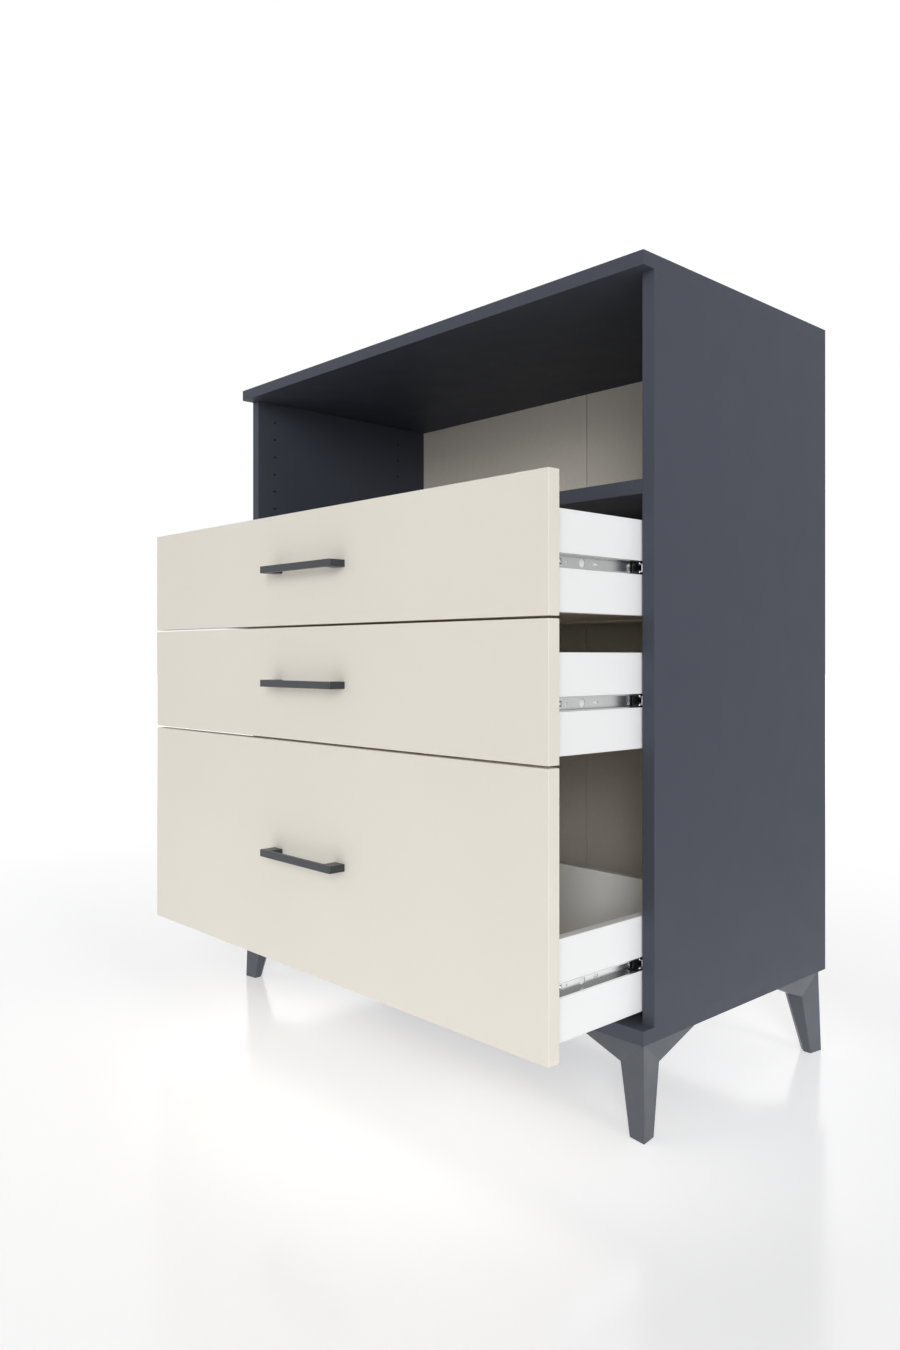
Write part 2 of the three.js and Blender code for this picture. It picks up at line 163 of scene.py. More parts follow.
def two_tones(tree, value, dark, light):
    """A colour that goes from dark to light with a noise value."""
    mix = add(tree, "ShaderNodeMix", data_type="RGBA")
    mix.inputs["A"].default_value = (*dark, 1)
    mix.inputs["B"].default_value = (*light, 1)
    join(tree, (spread(tree, value, 0, 1), mix.inputs["Factor"]))
    return mix.outputs["Result"]


def shaded(colour, share):
    """The same colour made darker or lighter by a share."""
    return tuple(min(1.0, channel * share) for channel in colour)


def tint(tree, surface, value, colour, dark, light):
    """Gives the surface one colour that drifts between a darker and a lighter share of it."""
    tone = two_tones(tree, value, shaded(colour, dark), shaded(colour, light))
    join(tree, (tone, surface.inputs["Base Color"]))


def roughen(tree, surface, value, low, high):
    """Lets the surface's roughness vary between two numbers."""
    join(tree, (spread(tree, value, low, high), surface.inputs["Roughness"]))


def bump(tree, surface, value, depth, strength):
    """Makes a noise value look like a relief of some depth."""
    raise_up = add(tree, "ShaderNodeBump")
    raise_up.inputs["Strength"].default_value = strength
    raise_up.inputs["Distance"].default_value = depth
    join(
        tree,
        (value, raise_up.inputs["Height"]),
        (raise_up.outputs["Normal"], surface.inputs["Normal"]),
    )


print("a noise value runs from about", NOISE_LOW, "to", NOISE_HIGH)

# %% [markdown]
# ## Coated boards
# The carcass and the fronts are chipboard with a melamine face: hard, matt and even, with a very fine
# pearl grain that only shows in the light's reflection. One function makes both colours. The colour drifts
# by a percent or two over the board, the roughness varies in patches as wiped boards do, and the grain is
# a bump of a few hundredths of a millimetre. The narrow edges carry a plastic band of the same colour, a
# little smoother, with faint drag lines from the machine that trims it.

# %% Finishes for coated boards
CARCASS_GREY = (0.063, 0.07, 0.091)
FRONT_CREAM = (0.78, 0.742, 0.665)
FACE_ROUGHNESS_SPREAD = 0.03
BAND_ROUGHNESS_SPREAD = 0.04


def coated_face(name, colour, roughness, specular):
    material, tree, surface = new_finish(name, roughness, specular=specular)
    low, high = roughness - FACE_ROUGHNESS_SPREAD, roughness + FACE_ROUGHNESS_SPREAD
    tint(tree, surface, noise(tree, scale=3.0), colour, dark=0.985, light=1.015)
    roughen(tree, surface, noise(tree, scale=22.0, detail=4.0), low, high)
    bump(tree, surface, noise(tree, scale=1300.0, detail=3.0), depth=0.04 * MM, strength=0.5)
    return material


def edge_band(name, colour, roughness, specular):
    material, tree, surface = new_finish(name, roughness, specular=specular)
    low, high = roughness - BAND_ROUGHNESS_SPREAD, roughness + BAND_ROUGHNESS_SPREAD
    drag = noise(tree, scale=90.0, detail=4.0)
    tint(tree, surface, noise(tree, scale=9.0), colour, dark=0.985, light=1.015)
    roughen(tree, surface, drag, low, high)
    bump(tree, surface, drag, depth=0.02 * MM, strength=0.4)
    return material


carcass_face = coated_face("carcass_face", CARCASS_GREY, roughness=0.52, specular=0.12)
carcass_band = edge_band("carcass_band", CARCASS_GREY, roughness=0.5, specular=0.12)
front_face = coated_face("front_face", FRONT_CREAM, roughness=0.5, specular=0.25)
front_band = edge_band("front_band", FRONT_CREAM, roughness=0.42, specular=0.25)
print("coated finishes:", carcass_face.name, carcass_band.name, front_face.name, front_band.name)

# %% [markdown]
# ## Drawer-side board and hardboard
# The drawer boxes are thin board wrapped in white foil, which is smoother than melamine and shows a soft
# orange peel. The back and the drawer bottoms are hardboard: one face is printed cream, and pressed fibres
# show through the print as fine flecks. The face that nobody sees is left raw, brown and felted, so the
# back sheets get both finishes. The two sheets meet at a seam and are joined from behind by a plastic strip.
# The strip's dark brown is painted shade, which makes the seam read as a dark line.

# %% Finishes for the boxes, the back and the bottoms
BOX_WHITE = (0.88, 0.885, 0.888)
PRINTED_CREAM = (0.865, 0.812, 0.715)
RAW_BROWN = (0.26, 0.165, 0.09)
# Painted shade: the joining strip is dark brown so that the seam between the back sheets reads as a dark
# line.
STRIP_SHADE_BROWN = (0.10, 0.08, 0.06)
CLOUD_GREY = (0.85, 0.85, 0.85)
WHITE = (1, 1, 1)


def wrapped_foil():
    material, tree, surface = new_finish("wrapped_foil", roughness=0.4, specular=0.35)
    tint(tree, surface, noise(tree, scale=5.0), BOX_WHITE, dark=0.985, light=1.01)
    roughen(tree, surface, noise(tree, scale=40.0), low=0.36, high=0.46)
    bump(tree, surface, noise(tree, scale=420.0, detail=1.0), depth=0.03 * MM, strength=0.4)
    return material


def printed_hardboard():
    material, tree, surface = new_finish("printed_hardboard", roughness=0.6, specular=0.25)
    flecks = noise(tree, scale=260.0, detail=8.0, stretch=(1, 1, 0.35))
    tint(tree, surface, flecks, PRINTED_CREAM, dark=0.975, light=1.02)
    roughen(tree, surface, noise(tree, scale=30.0), low=0.52, high=0.68)
    bump(tree, surface, flecks, depth=0.03 * MM, strength=0.3)
    return material


def raw_hardboard():
    material, tree, surface = new_finish("raw_hardboard", roughness=0.85, specular=0.15)
    fibres = noise(tree, scale=180.0, detail=12.0, stretch=(1, 1, 0.5))
    tone = two_tones(tree, fibres, shaded(RAW_BROWN, 0.82), shaded(RAW_BROWN, 1.18))
    clouds = two_tones(tree, noise(tree, scale=6.0), CLOUD_GREY, WHITE)
    stain = add(tree, "ShaderNodeMix", data_type="RGBA", blend_type="MULTIPLY")
    stain.inputs["Factor"].default_value = 1.0
    join(
        tree,
        (tone, stain.inputs["A"]),
        (clouds, stain.inputs["B"]),
        (stain.outputs["Result"], surface.inputs["Base Color"]),
    )
    bump(tree, surface, fibres, depth=0.15 * MM, strength=0.7)
    return material


# The strip's dark colour is painted shade, which makes the seam between the back sheets read as a dark line.
def joining_strip_painted_shade():
    material, tree, surface = new_finish("joining_strip_painted_shade", roughness=0.55, specular=0.3)
    ribs = noise(tree, scale=500.0, detail=2.0, stretch=(1, 1, 0.02))
    tint(tree, surface, ribs, STRIP_SHADE_BROWN, dark=0.95, light=1.05)
    bump(tree, surface, ribs, depth=0.08 * MM, strength=0.6)
    return material


box_foil = wrapped_foil()
back_print = printed_hardboard()
back_raw = raw_hardboard()
seam_strip = joining_strip_painted_shade()
print("board finishes:", box_foil.name, back_print.name, back_raw.name, seam_strip.name)

# %% [markdown]
# ## Plastic and metal
# The feet are moulded plastic with the fine texture of an eroded mould. The handles are die-cast and
# powder coated, so they have a soft orange peel. The runners are rolled from zinc-plated strip: the rolls
# leave long streaks, made here by a noise that is stretched along the runner, and the plating varies
# between cool and warm grey. The cages are black plastic and the balls are polished steel.

# %% Finishes for the feet, handles and runners
FOOT_GREY = (0.085, 0.093, 0.108)
HANDLE_GREY = (0.029, 0.0345, 0.04)
ZINC_COOL = (0.42, 0.435, 0.43)
ZINC_WARM = (0.44, 0.45, 0.443)
CAGE_BLACK = (0.006, 0.006, 0.007)
BALL_STEEL = (0.62, 0.62, 0.63)
SCUFF_LESS, SCUFF_MORE = 0.05, 0.08


def moulded_plastic():
    material, tree, surface = new_finish("moulded_plastic", roughness=0.45, specular=0.28)
    tint(tree, surface, noise(tree, scale=14.0), FOOT_GREY, dark=0.95, light=1.05)
    roughen(tree, surface, noise(tree, scale=35.0, detail=3.0), low=0.4, high=0.52)
    bump(tree, surface, noise(tree, scale=2200.0), depth=0.03 * MM, strength=0.5)
    return material


def powder_coat():
    material, tree, surface = new_finish("powder_coat", roughness=0.38, specular=0.4)
    peel = noise(tree, scale=900.0)
    tint(tree, surface, noise(tree, scale=60.0), HANDLE_GREY, dark=0.94, light=1.06)
    roughen(tree, surface, peel, low=0.32, high=0.44)
    bump(tree, surface, peel, depth=0.03 * MM, strength=0.6)
    return material


def rolled_zinc():
    material, tree, surface = new_finish("rolled_zinc", roughness=0.25, metallic=1.0)
    tone = two_tones(tree, noise(tree, scale=45.0, detail=4.0), ZINC_COOL, ZINC_WARM)
    join(tree, (tone, surface.inputs["Base Color"]))
    roughen(tree, surface, noise(tree, scale=20.0, detail=6.0, stretch=(60, 1, 60)), low=0.23, high=0.27)
    return material


def black_cage():
    material, tree, surface = new_finish("black_cage", roughness=0.4, specular=0.4)
    tint(tree, surface, noise(tree, scale=200.0), CAGE_BLACK, dark=0.8, light=1.4)
    roughen(tree, surface, noise(tree, scale=80.0), low=0.34, high=0.5)
    return material


def polished_steel(name, colour, roughness):
    material, tree, surface = new_finish(name, roughness, metallic=1.0)
    low, high = roughness - SCUFF_LESS, roughness + SCUFF_MORE
    tint(tree, surface, noise(tree, scale=300.0), colour, dark=0.94, light=1.05)
    roughen(tree, surface, noise(tree, scale=1500.0, detail=3.0), low, high)
    return material


foot_finish = moulded_plastic()
handle_finish = powder_coat()
runner_finish = rolled_zinc()
cage_finish = black_cage()
ball_finish = polished_steel("ball_steel", BALL_STEEL, roughness=0.12)
screw_finish = polished_steel("screw_zinc", ZINC_WARM, roughness=0.3)
print("fitting finishes:", foot_finish.name, handle_finish.name, runner_finish.name)

# %% [markdown]
# ## From loose triangles to a clean board
# A imported CAD node is a set of loose triangles. It can't be rounded like that, because no two triangles
# share an edge. So a copy is merged at its corners, and the flat faces that the triangles made are
# dissolved back into whole faces. The first node stays hidden as the shape that collides. Each new piece
# is named after the node that it replaces, rides on its body and carries its finishes.

# %% Helpers that turn a CAD node into a finished piece
MERGE_REACH = 0.001 * MM
FLAT_ANGLE = math.radians(0.5)
ON_PLANE = 0.01 * MM


def clean_copy(node):
    """A copy of a CAD node with its triangles merged back into whole flat faces."""
    shape = bmesh.new()
    shape.from_mesh(part[node].data)
    bmesh.ops.remove_doubles(shape, verts=shape.verts, dist=MERGE_REACH)
    bmesh.ops.dissolve_limit(shape, angle_limit=FLAT_ANGLE, verts=shape.verts, edges=shape.edges)
    return shape


def finished_piece(name, shape, materials, body, replaced=()):
    """A piece of its own that rides on a body and may stand for CAD nodes."""
    mesh = bpy.data.meshes.new(name)
    shape.to_mesh(mesh)
    shape.free()
    for material in materials:
        mesh.materials.append(material)
    piece = bpy.data.objects.new(name, mesh)
    bpy.context.scene.collection.objects.link(piece)
    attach(piece, body)
    if replaced:
        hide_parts(*replaced)
    return piece


def outer_planes(places, low, high):
    """The outer planes of a box that all the given places lie on."""
    names = (("left", "right"), ("front", "back"), ("bottom", "top"))
    found = set()
    for axis, (low_name, high_name) in enumerate(names):
        if all(abs(place[axis] - low[axis]) < ON_PLANE for place in places):
            found.add(low_name)
        if all(abs(place[axis] - high[axis]) < ON_PLANE for place in places):
            found.add(high_name)
    return found


def soften(shape, edges, radius, steps):
    """Rounds the edges and returns the new faces."""
    rounded = bmesh.ops.bevel(
        shape, geom=edges, offset=radius, offset_type="OFFSET", segments=steps,
        profile=0.5, affect="EDGES", clamp_overlap=True)
    return set(rounded["faces"])


test_shape = clean_copy("fixed_shelf")
print("the shelf has", len(test_shape.faces), "faces and", len(test_shape.edges), "edges once it is clean")
test_shape.free()

# %% [markdown]
# ## Boards with softened edges
# A board that leaves the edge-banding machine has edges of a few tenths of a millimetre radius. They
# matter more than their size suggests, because each one catches a thin line of light. Only edges that are
# free get one: where a side meets the top panel the boards touch, and a radius there would open a groove
# that the real chest doesn't have. The faces across the board's thickness, and the radius itself, get the
# edge band.

# %% Round the boards
CARCASS_RADIUS = 0.4 * MM
FRONT_RADIUS = 0.8 * MM
BOX_RADIUS = 0.8 * MM
RADIUS_STEPS = 3
HALF_TURNED = math.cos(math.radians(45))
AXIS_OF = {"across": 0, "deep": 1, "flat": 2}
FACE, BAND = 0, 1


def round_board(node, thickness_along, radius, square, materials):
    """A board with its free outer edges rounded; square lists the pairs of planes that stay sharp."""
    low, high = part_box(node)
    shape = clean_copy(node)
    free = []
    for edge in shape.edges:
        planes = outer_planes([corner.co for corner in edge.verts], low, high)
        if len(planes) == 2 and planes not in square:
            free.append(edge)
    strips = soften(shape, free, radius, RADIUS_STEPS)
    shape.normal_update()
    axis = AXIS_OF[thickness_along]
    for face in shape.faces:
        corners = [corner.co for corner in face.verts]
        narrow = abs(face.normal[axis]) < HALF_TURNED and outer_planes(corners, low, high)
        face.material_index = BAND if narrow or face in strips else FACE
        face.smooth = face in strips
    return finished_piece(node + "_board", shape, materials, body_of[node], [node])


carcass_finish = (carcass_face, carcass_band)
front_finish = (front_face, front_band)
box_finish = (box_foil, box_foil)
touching_above = [{"bottom", "left"}, {"bottom", "right"}, {"bottom", "back"}]
touching_below = [{"top", "left"}, {"top", "right"}, {"top", "back"}]
upright = [{end, side} for end in ("top", "bottom") for side in ("left", "right", "front", "back")]
fitted = [{end, side} for end in ("left", "right") for side in ("top", "bottom", "front", "back")]

round_board("top_panel", "flat", CARCASS_RADIUS, touching_above, carcass_finish)
round_board("bottom_panel", "flat", CARCASS_RADIUS, touching_below, carcass_finish)
round_board("fixed_shelf", "flat", CARCASS_RADIUS, fitted, carcass_finish)
for side in SIDES:
    round_board(side + "_side", "across", CARCASS_RADIUS, upright, carcass_finish)

for number in DRAWERS:
    drawer = f"drawer_{number}"
    round_board(drawer + "_front", "deep", FRONT_RADIUS, [], front_finish)
    meets_front = [{"front", plane} for plane in ("left", "right", "top", "bottom")]
    for side in SIDES:
        round_board(f"{drawer}_box_{side}", "across", BOX_RADIUS, meets_front, box_finish)
    round_board(drawer + "_box_back", "deep", BOX_RADIUS, fitted, box_finish)

# %% [markdown]
# ## Back sheets and drawer bottoms
# These thin sheets sit in grooves, so no edge of theirs shows and the CAD solids are right as they are.
# They only need their finishes. A back sheet has its raw face at the rear, so each of its faces is given
# the raw finish or the print by the way that it points. A material index isn't part of a mesh's shape, so
# it can be set on the CAD node itself.

# %% Dress the sheets
PRINT, RAW = 0, 1


def dress(node, *materials):
    """Gives a CAD node its finishes, and returns its mesh."""
    mesh = part[node].data
    mesh.materials.clear()
    for material in materials:
        mesh.materials.append(material)
    return mesh


for side in SIDES:
    sheet = dress("back_panel_" + side, back_print, back_raw)
    for face in sheet.polygons:
        face.material_index = RAW if face.normal.y > 0 else PRINT
dress("back_joint_strip", seam_strip)
for number in DRAWERS:
    dress(f"drawer_{number}_bottom", back_print)
print("back sheets:", len(SIDES), "drawer bottoms:", len(DRAWERS))

# %% [markdown]
# ## Bar handles
# The handle is a flat bar that turns back at both ends into two broad legs. Copying the CAD solid would
# keep its coarse corners, so the outline is drawn again from above with fine arcs and pushed up by the
# bar's height. The long edges then get the small radius that a casting always has, which is what makes a
# dark bar read as metal.

# %% Make the handles
LEG_WIDTH = 21 * MM
BAR_THICKNESS = 6.5 * MM
CORNER_RADIUS = 2 * MM
CORNER_STEPS = 8
HANDLE_RADIUS = 0.7 * MM
ARC_FACET_SHARE = 0.25


def arc(centre, radius, start, end, steps):
    points = []
    for step in range(steps + 1):
        angle = math.radians(start + (end - start) * step / steps)
        points.append((centre[0] + radius * math.cos(angle), centre[1] + radius * math.sin(angle)))
    return points


def handle_outline(low, high):
    """Seen from above, once round: the two front corners are arcs, the legs end flat on the front."""
    turn = CORNER_RADIUS
    return [
        (low.x, high.y),
        *arc((low.x + turn, low.y + turn), turn, 180, 270, CORNER_STEPS),
        *arc((high.x - turn, low.y + turn), turn, 270, 360, CORNER_STEPS),
        (high.x, high.y),
        (high.x - LEG_WIDTH, high.y),
        (high.x - LEG_WIDTH, low.y + BAR_THICKNESS),
        (low.x + LEG_WIDTH, low.y + BAR_THICKNESS),
        (low.x + LEG_WIDTH, high.y),
    ]


def make_handle(node):
    """The outline pushed up, with rounded rims and with the facets of its corner arcs shaded smooth."""
    low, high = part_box(node)
    shape = bmesh.new()
    base = shape.faces.new([shape.verts.new((x, y, low.z)) for x, y in handle_outline(low, high)])
    raised = bmesh.ops.extrude_face_region(shape, geom=[base])
    lifted = [item for item in raised["geom"] if isinstance(item, bmesh.types.BMVert)]
    bmesh.ops.translate(shape, verts=lifted, vec=(0, 0, high.z - low.z))
    bmesh.ops.recalc_face_normals(shape, faces=shape.faces)
    rims = []
    for edge in shape.edges:
        level = abs(edge.verts[0].co.z - edge.verts[1].co.z) < ON_PLANE
        seated = all(abs(corner.co.y - high.y) < ON_PLANE for corner in edge.verts)
        if level and not seated:
            rims.append(edge)
    rounded = soften(shape, rims, HANDLE_RADIUS, RADIUS_STEPS)
    arc_facet = ARC_FACET_SHARE * CORNER_RADIUS * (high.z - low.z)
    for face in shape.faces:
        face.smooth = face in rounded or face.calc_area() < arc_facet
    return finished_piece(node + "_bar", shape, [handle_finish], body_of[node], [node])


for number in DRAWERS:
    handle = make_handle(f"drawer_{number}_handle")
    print(handle.name, "has", len(handle.data.polygons), "faces")

# %% [markdown]
# ## Moulded feet
# Each foot is a faceted corner with two wings and a leg that tapers and splays. The facets are the design,
# so they stay flat, and only the lines where they meet get the small radius that lets a moulding leave its
# tool. The rim that lies against the bottom panel stays sharp.

# %% Round the feet
FOOT_RADIUS = 0.5 * MM
FOOT_STEPS = 2
CREASE = math.radians(8)


def round_foot(node):
    """The foot's solid with its creases rounded and its facets left flat."""
    low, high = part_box(node)
    shape = clean_copy(node)
    creases = []
    for edge in shape.edges:
        seated = all(abs(corner.co.z - high.z) < ON_PLANE for corner in edge.verts)
        if not seated and edge.calc_face_angle(0) > CREASE:
            creases.append(edge)
    rounded = soften(shape, creases, FOOT_RADIUS, FOOT_STEPS)
    for face in shape.faces:
        face.smooth = face in rounded
    return finished_piece(node + "_moulding", shape, [foot_finish], "carcass", [node])


for end in ("front", "rear"):
    for side in SIDES:
        foot = round_foot(f"foot_{end}_{side}")
        print(foot.name, "has", len(foot.data.polygons), "faces")

# %% [markdown]
# ## Runners, cages and handle screws
# Each runner is two steel members with a ball cage between them. The drawer member is a channel that lies
# in a groove of the box side, flush with the board, and the cabinet member is screwed to the carcass side.
# Its ball races are true arcs, which the CAD solid holds as a few flats. A clean copy that is shaded
# smooth across shallow angles, and sharp across the folds, shows the arc again without another shape. The
# drawer member has a small round hole behind its first screw, where the white board shows through as a
# bright dot. A Boolean modifier cuts it with a short rod, which is exact and leaves the rest of the strip
# as it is. The cages and handle screws only need their finishes.

# %% Pierce and smooth the runner members
RACE_TURN = math.radians(40)
DOT_RADIUS = 1.5 * MM
DOT_SETBACK = 43.3 * MM
ROD_LENGTH = 40 * MM
ROD_SIDES = 24


def pierced(shape, places, radius, rod_length):
    """The shape with a round hole along X at each place, cut by a Boolean modifier."""
    rods = bmesh.new()
    for place in places:
        turn = Matrix.Translation(place) @ Matrix.Rotation(math.radians(90), 4, "Y")
        bmesh.ops.create_cone(
            rods, cap_ends=True, segments=ROD_SIDES, radius1=radius, radius2=radius,
            depth=rod_length, matrix=turn)
    holders = []
    for content in (shape, rods):
        mesh = bpy.data.meshes.new("while_cutting")
        content.to_mesh(mesh)
        content.free()
        holders.append(bpy.data.objects.new("while_cutting", mesh))
        bpy.context.scene.collection.objects.link(holders[-1])
    cut = holders[0].modifiers.new("cut", "BOOLEAN")
    cut.operation = "DIFFERENCE"
    cut.solver = "EXACT"
    cut.object = holders[1]
    ready = holders[0].evaluated_get(bpy.context.evaluated_depsgraph_get())
    result = bmesh.new()
    result.from_mesh(ready.to_mesh())
    for holder in holders:
        bpy.data.objects.remove(holder)
    return result


def drawer_member(node, holes):
    """The channel screwed into the groove of the box side, pierced behind its first screw."""
    shape = pierced(clean_copy(node), holes, DOT_RADIUS, ROD_LENGTH)
    return finished_piece(node + "_strip", shape, [runner_finish], body_of[node], [node])


def cabinet_member(node):
    """The channel screwed to the side panel: its ball races are shaded as true arcs."""
    shape = clean_copy(node)
    for edge in shape.edges:
        edge.smooth = edge.calc_face_angle(math.pi) < RACE_TURN
    for face in shape.faces:
        face.smooth = all(not edge.smooth or edge.calc_face_angle(0) > FLAT_ANGLE for edge in face.edges)
    return finished_piece(node + "_strip", shape, [runner_finish], body_of[node], [node])


for number in DRAWERS:
    for side in SIDES:
        low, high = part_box(f"drawer_{number}_runner_{side}")
        dot = ((low.x + high.x) / 2, low.y + DOT_SETBACK, (low.z + high.z) / 2)
        member = drawer_member(f"drawer_{number}_runner_{side}", [dot])
        cabinet_member(f"drawer_{number}_cabinet_runner_{side}")
        dress(f"drawer_{number}_ball_cage_{side}", cage_finish)
        dress(f"drawer_{number}_handle_screw_{side}", screw_finish)
        print(member.name, "has", len(member.data.polygons), "faces")

# %% [markdown]
# ## Geometry Nodes: a tree with named inputs
# Balls and screws repeat, so they are made by Geometry Nodes: a few points say where, and the tree says
# what. Each tree gets named inputs for its sizes. They are set by the socket's identifier before the tree
# first runs, because a modifier doesn't know a socket by its name. The tree ends in Realize Instances and
# Set Material, and the result is then copied into a plain mesh, which is the piece that rides on its body.

# %% Helpers for Geometry Nodes
def new_tree(name, sizes):
    tree = bpy.data.node_groups.new(name, "GeometryNodeTree")
    tree.interface.new_socket("Places", in_out="INPUT", socket_type="NodeSocketGeometry")
    for label, (kind, value) in sizes.items():
        socket = tree.interface.new_socket(label, in_out="INPUT", socket_type="NodeSocket" + kind)
        socket.default_value = value
    tree.interface.new_socket("Made", in_out="OUTPUT", socket_type="NodeSocketGeometry")
    return tree, add(tree, "NodeGroupInput"), add(tree, "NodeGroupOutput")


def places_mesh(name, places, facings=None):
    """A mesh of loose points, each with the way that it faces."""
    mesh = bpy.data.meshes.new(name)
    mesh.from_pydata(places, [], [])
    if facings:
        facing = mesh.attributes.new("facing", "FLOAT_VECTOR", "POINT")
        facing.data.foreach_set("vector", [value for way in facings for value in way])
    return mesh


def grow(name, mesh, tree, sizes, body):
    """Runs the tree on the points and keeps what it makes as one plain piece."""
    maker = bpy.data.objects.new(name + "_places", mesh)
    bpy.context.scene.collection.objects.link(maker)
    modifier = maker.modifiers.new("grow", "NODES")
    modifier.node_group = tree
    for socket in tree.interface.items_tree:
        if socket.in_out == "INPUT" and socket.name in sizes:
            modifier[socket.identifier] = sizes[socket.name]
    bpy.context.view_layer.update()
    ready = maker.evaluated_get(bpy.context.evaluated_depsgraph_get())
    made = bpy.data.meshes.new_from_object(ready)
    made.name = name
    maker.modifiers.clear()
    bpy.data.objects.remove(maker)
    piece = bpy.data.objects.new(name, made)
    bpy.context.scene.collection.objects.link(piece)
    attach(piece, body)
    return piece


print("tree helpers ready")

# %% [markdown]
# ## Steel balls in their cages
# Each runner runs on two rows of balls, held a pitch apart by the black cage. The tree puts a line of
# points at the start of every row, turns that line into real points, and puts a ball on each. The cage
# runs at half the drawer's speed, so with the drawers pulled out as in the photograph, its front end and
# the first ball of each row peep out of the cabinet member.

# %% Grow the balls
BALL_RADIUS = 1.5 * MM
BALL_SEGMENTS, BALL_RINGS = 16, 10
BALL_PITCH = 25 * MM
BALLS_PER_ROW = 6
FIRST_BALL = 7.5 * MM
BALL_ROW_RISE = 5.625 * MM
BALL_ROW_PLACE = 428 * MM


def ball_tree():
    tree, given, out = new_tree("balls_in_rows", {
        "Balls": ("Int", BALLS_PER_ROW),
        "Pitch": ("Float", BALL_PITCH),
        "Radius": ("Float", BALL_RADIUS),
    })
    step = add(tree, "ShaderNodeCombineXYZ")
    row = add(tree, "GeometryNodeMeshLine", mode="OFFSET")
    rows = add(tree, "GeometryNodeInstanceOnPoints")
    row_points = add(tree, "GeometryNodeRealizeInstances")
    ball = add(tree, "GeometryNodeMeshUVSphere")
    ball.inputs["Segments"].default_value = BALL_SEGMENTS
    ball.inputs["Rings"].default_value = BALL_RINGS
    round_ball = add(tree, "GeometryNodeSetShadeSmooth")
    balls = add(tree, "GeometryNodeInstanceOnPoints")
    real = add(tree, "GeometryNodeRealizeInstances")
    steel = add(tree, "GeometryNodeSetMaterial")
    steel.inputs["Material"].default_value = ball_finish
    join(
        tree,
        (given.outputs["Pitch"], step.inputs["Y"]),
        (step.outputs["Vector"], row.inputs["Offset"]),
        (given.outputs["Balls"], row.inputs["Count"]),
        (given.outputs["Places"], rows.inputs["Points"]),
        (row.outputs["Mesh"], rows.inputs["Instance"]),
        (rows.outputs["Instances"], row_points.inputs["Geometry"]),
        (given.outputs["Radius"], ball.inputs["Radius"]),
        (ball.outputs["Mesh"], round_ball.inputs["Geometry"]),
        (row_points.outputs["Geometry"], balls.inputs["Points"]),
        (round_ball.outputs["Geometry"], balls.inputs["Instance"]),
        (balls.outputs["Instances"], real.inputs["Geometry"]),
        (real.outputs["Geometry"], steel.inputs["Geometry"]),
        (steel.outputs["Geometry"], out.inputs["Made"]),
    )
    return tree


rows_of_balls = ball_tree()
ball_sizes = {"Balls": BALLS_PER_ROW, "Pitch": BALL_PITCH, "Radius": BALL_RADIUS}
for number in DRAWERS:
    starts = []
    for side, sign in SIDES.items():
        low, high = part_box(f"drawer_{number}_ball_cage_{side}")
        middle = (low.z + high.z) / 2
        for rise in (-BALL_ROW_RISE, BALL_ROW_RISE):
            starts.append((sign * BALL_ROW_PLACE, low.y + FIRST_BALL, middle + rise))
    name = f"drawer_{number}_balls"
    points = places_mesh(name, starts)
    balls = grow(name, points, rows_of_balls, ball_sizes, f"ball_cages_{number}")
    print(balls.name, "has", len(balls.data.polygons), "faces")

# %% [markdown]
# ## A screw head with a cross
# The screws that hold the runners have shallow heads, because the cage has to pass over them. The tree
# makes a tapered head and cuts a cross into it. The two bars of the cross overlap, so the cut uses the exact
# solver with self intersection allowed, or the head would be left open. A copy of the head then goes on each
# point. It looks the way that the point faces, and it is turned by a random amount about its own axis, since
# nobody lines up screws by hand. The random numbers have a fixed seed, so each run gives the same chest.

# %% Make the screw tree
HEAD_RADIUS = 3.4 * MM
HEAD_HEIGHT = 1.2 * MM
HEAD_TAPER_SHARE = 0.7
HEAD_SIDES = 24
CROSS_LENGTH = 3.6 * MM
CROSS_WIDTH = 0.8 * MM
TURN_SEED = 4


